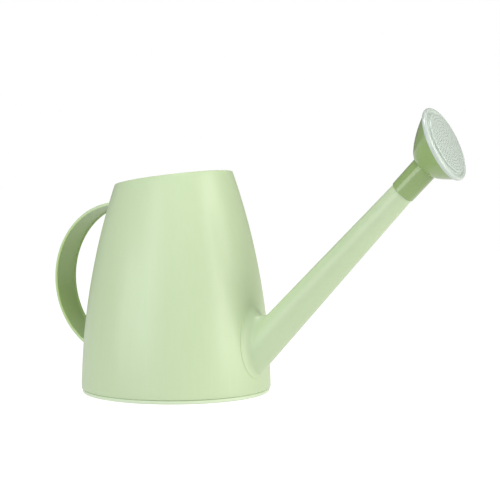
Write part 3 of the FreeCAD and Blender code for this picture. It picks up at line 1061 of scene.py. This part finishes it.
@dataclass
class RoseFace:
    """Domed plate full of fine holes, a hollow ring round it, a rounded rim and a skirt over the bowl.

    Each hole is turned a little against the one before, which lets the plate be filled evenly between them.
    The sweeps are the angles, in degrees, that the round parts of the section run through.
    """

    bowl: RoseBowl
    radius: float = 0.0356
    front_radius: float = 0.0332
    front_height: float = -0.0005
    back_radius: float = 0.0343
    skirt_wall: float = 0.0016
    gap: float = 0.00008
    step_radius: float = 0.031
    step_depth: float = 0.0025
    disc_radius: float = 0.029
    disc_edge: float = 0.0009
    plate: float = 0.0015
    dome: float = 0.0007
    bead: float = 0.0008
    bead_sweep: tuple[float, float] = (78.0, 0.0)
    hollow_sweep: tuple[float, float] = (180.0, 300.0)
    rim_sweep: tuple[float, float] = (150.0, -50.0)
    weld: float = 0.00001
    hole_radius: float = 0.00055
    hole_pitch: float = 0.003
    hole_rings: int = 9
    hole_sides: int = 10
    hole_turn: float = 0.37
    home: Home = Home(Body.FACE, "rose_face", Slot.FACE, CHALK)

    def dome_height(self, radius: float) -> float:
        """Height of the dome over its edge."""
        ball = (self.disc_radius**2 + self.dome**2) / (2 * self.dome)
        return math.sqrt(ball**2 - radius**2) - math.sqrt(ball**2 - self.disc_radius**2)

    def hole_places(self) -> Iterable[tuple[float, float]]:
        """Centres of the holes: one on the axis, then rings of six, twelve, eighteen and so on."""
        yield 0.0, 0.0
        for ring in range(1, self.hole_rings + 1):
            for step in range(6 * ring):
                angle = math.radians(60 * step / ring)
                yield ring * self.hole_pitch * math.cos(angle), ring * self.hole_pitch * math.sin(angle)

    def build_plate(self) -> bpy.types.Object:
        """Draw the plate's edge and its holes, fill between them, and give it thickness and its dome.

        Returns:
            The plate, open round its edge.
        """
        deselect()
        edge_radius = self.disc_radius - self.bead
        bpy.ops.mesh.primitive_circle_add(vertices=SEGMENTS, radius=edge_radius)
        plate = name_active("rose_plate")
        bpy.ops.object.mode_set(mode="EDIT")
        for count, (x, y) in enumerate(self.hole_places()):
            turn = (0, 0, self.hole_turn * count)
            bpy.ops.mesh.primitive_circle_add(
                vertices=self.hole_sides, radius=self.hole_radius, location=(x, y, 0), rotation=turn
            )
        bpy.ops.mesh.select_all(action="SELECT")
        bpy.ops.mesh.fill(use_beauty=True)
        bpy.ops.mesh.select_all(action="SELECT")
        bpy.ops.mesh.extrude_region_move(TRANSFORM_OT_translate={"value": (0, 0, -self.plate)})
        bpy.ops.mesh.select_all(action="DESELECT")
        bpy.ops.object.mode_set(mode="OBJECT")
        for face in plate.data.polygons:
            corners = [plate.data.vertices[index].co for index in face.vertices]
            at_edge = all(math.hypot(corner.x, corner.y) > edge_radius - self.weld for corner in corners)
            upright = abs(face.center.z + self.plate / 2) < self.weld
            face.select = at_edge and upright
        bpy.ops.object.mode_set(mode="EDIT")
        bpy.ops.mesh.delete(type="FACE")
        bpy.ops.object.mode_set(mode="OBJECT")
        for vertex in plate.data.vertices:
            vertex.co.z += self.disc_edge + self.dome_height(math.hypot(vertex.co.x, vertex.co.y))
        return plate

    def build_rim(self) -> bpy.types.Object:
        """Turn the bead, the hollow ring, the rim and the skirt, from the plate's top edge to its lower one.

        Returns:
            The rim, open where the plate joins it.
        """
        bead, hollow = self.bead, self.disc_edge - self.step_depth
        joint = self.disc_edge + self.dome_height(self.disc_radius - bead)
        back, skirt = self.gap - self.bowl.skirt_depth, self.back_radius - self.skirt_wall
        bulge, hollow_round = self.radius - self.front_radius, (self.step_radius - self.disc_radius) / 2
        middle = (self.front_radius, self.front_height - bulge)
        rings = [Ring(self.disc_radius - bead, joint)]
        rings += arc((self.disc_radius - bead, self.disc_edge - bead), bead, *self.bead_sweep, 6)
        floor = (self.disc_radius + hollow_round, hollow + hollow_round)
        rings += arc(floor, hollow_round, *self.hollow_sweep, 6)
        rings += arc(middle, bulge, *self.rim_sweep, 22)
        rings += [Ring(self.back_radius, back), Ring(skirt, back)]
        rings += [Ring(skirt, hollow - self.plate), Ring(self.disc_radius - bead, hollow - self.plate)]
        rings += [Ring(self.disc_radius - bead, joint - self.plate)]
        return turned("rose_rim", rings, Ends.OPEN)

    def build(self) -> bpy.types.Object:
        """Weld the plate to the rim and set the face in its place.

        Returns:
            The face.
        """
        plate, rim = self.build_plate(), self.build_rim()
        make_active(rim)
        plate.select_set(True)
        bpy.ops.object.join()
        face = name_active("rose_face_skin")
        outward(face)
        put(face, self.bowl.face_frame())
        smooth(face)
        return self.home.take(face)


# ------------------------------------------------------------------ the studio


@dataclass
class Softbox:
    """A large soft light beside the can: its bearing and height are seen from the can."""

    name: str
    bearing: float
    elevation: float
    distance: float
    size: tuple[float, float]
    power: float
    colour: tuple[float, float, float] = (1.0, 1.0, 1.0)

    def place(self, target: Vector) -> None:
        """Set the light up, facing a point.

        Args:
            target: The point.
        """
        bearing, rise = math.radians(self.bearing), math.radians(self.elevation)
        way = Vector((math.cos(bearing) * math.cos(rise), math.sin(bearing) * math.cos(rise), math.sin(rise)))
        lamp = bpy.data.lights.new(self.name, "AREA")
        lamp.shape = "RECTANGLE"
        lamp.size, lamp.size_y = self.size
        lamp.energy = self.power
        lamp.color = self.colour
        holder = bpy.data.objects.new(self.name, lamp)
        bpy.context.scene.collection.objects.link(holder)
        holder.location = target + way * self.distance
        holder.rotation_euler = (-way).to_track_quat("-Z", "Y").to_euler()


@dataclass
class Studio:
    """White floor, pale surroundings, soft lights and the camera."""

    lens: float = 99.4
    camera_place: tuple[float, float, float] = (0.7342, -1.1709, 0.2086)
    camera_way: tuple[float, float, float] = (-0.48457, 0.87329, -0.04896)
    floor_light: float = 0.62
    floor_white: float = 0.97
    floor_shade: float = 0.25
    surround: float = 0.21
    lights: tuple[Softbox, ...] = (
        Softbox("key_left", -96.0, 12.0, 1.5, (0.42, 1.3), 5.8, (0.9, 0.95, 1.0)),
        Softbox("low_left", -120.0, 6.2, 1.33, (0.71, 0.53), 3.0),
        Softbox("side_right", 8.0, 16.0, 1.6, (1.0, 1.4), 19.0, (1.0, 0.985, 0.9)),
        Softbox("front_fill", -56.0, 40.0, 1.8, (1.5, 1.5), 4.6),
        Softbox("overhead", -90.0, 82.0, 1.4, (0.6, 0.6), 8.0),
    )

    def build_floor(self) -> None:
        """Lay a large white floor that glows enough to stay pale, and still takes a soft shadow."""
        deselect()
        bpy.ops.mesh.primitive_plane_add(size=60, location=(0, 0, 0))
        floor = name_active("studio_floor")
        material = bpy.data.materials.new("studio_white")
        material.use_nodes = True
        graph = Graph(material.node_tree)
        path = graph.add("ShaderNodeLightPath")
        levels = {"To Min": self.floor_light, "To Max": self.floor_white}
        strength = graph.add("ShaderNodeMapRange", inputs=levels)
        graph.wire(path, "Is Camera Ray", strength, "Value")
        matt = graph.add("ShaderNodeBsdfDiffuse", inputs={"Color": (*[self.floor_shade] * 3, 1)})
        glow = graph.add("ShaderNodeEmission", inputs={"Color": (1, 1, 1, 1)})
        graph.wire(strength, "Result", glow, "Strength")
        both = graph.add("ShaderNodeAddShader")
        end = graph.add("ShaderNodeOutputMaterial")
        graph.wire(matt, 0, both, 0)
        graph.wire(glow, 0, both, 1)
        graph.wire(both, 0, end, "Surface")
        floor.data.materials.append(material)
        floor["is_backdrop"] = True

    def build_world(self) -> None:
        """Surround the can with soft light, and show the camera plain white behind it."""
        world = bpy.data.worlds.new("studio_world")
        world.use_nodes = True
        bpy.context.scene.world = world
        graph = Graph(world.node_tree)
        light = graph.add("ShaderNodeBackground", inputs={"Color": (1, 1, 1, 1), "Strength": self.surround})
        white = graph.add("ShaderNodeBackground", inputs={"Color": (1, 1, 1, 1), "Strength": 1.0})
        path = graph.add("ShaderNodeLightPath")
        mix = graph.add("ShaderNodeMixShader")
        end = graph.add("ShaderNodeOutputWorld")
        graph.wire(path, "Is Camera Ray", mix, 0)
        graph.wire(light, 0, mix, 1)
        graph.wire(white, 0, mix, 2)
        graph.wire(mix, 0, end, "Surface")

    def build_camera(self) -> None:
        """Set up the camera."""
        optics = bpy.data.cameras.new("studio_camera")
        optics.lens, optics.sensor_width = self.lens, 36.0
        optics.clip_end = 200.0
        camera = bpy.data.objects.new("studio_camera", optics)
        bpy.context.scene.collection.objects.link(camera)
        camera.location = self.camera_place
        camera.rotation_euler = Vector(self.camera_way).to_track_quat("-Z", "Y").to_euler()
        bpy.context.scene.camera = camera

    def build(self) -> None:
        """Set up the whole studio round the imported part's middle."""
        low, high = (Vector(corner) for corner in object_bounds())
        self.build_floor()
        self.build_world()
        self.build_camera()
        for light in self.lights:
            light.place((low + high) / 2)
        bpy.context.scene.view_settings.view_transform = "Standard"


def main() -> None:
    """Build the can, the rose and the studio."""
    logging.basicConfig(level=logging.INFO, format="%(name)s: %(message)s")
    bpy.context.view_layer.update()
    wall = CanWall()
    spout = Spout(wall)
    sleeve = RoseSleeve(spout)
    bowl = RoseBowl(sleeve)
    wall.build(spout)
    FloorPan(wall).build()
    spout.build()
    Handle(wall).build()
    sleeve.build()
    sleeve.build_washer()
    bowl.build()
    RoseFace(bowl).build()
    Studio().build()


if __name__ == "__main__":
    main()
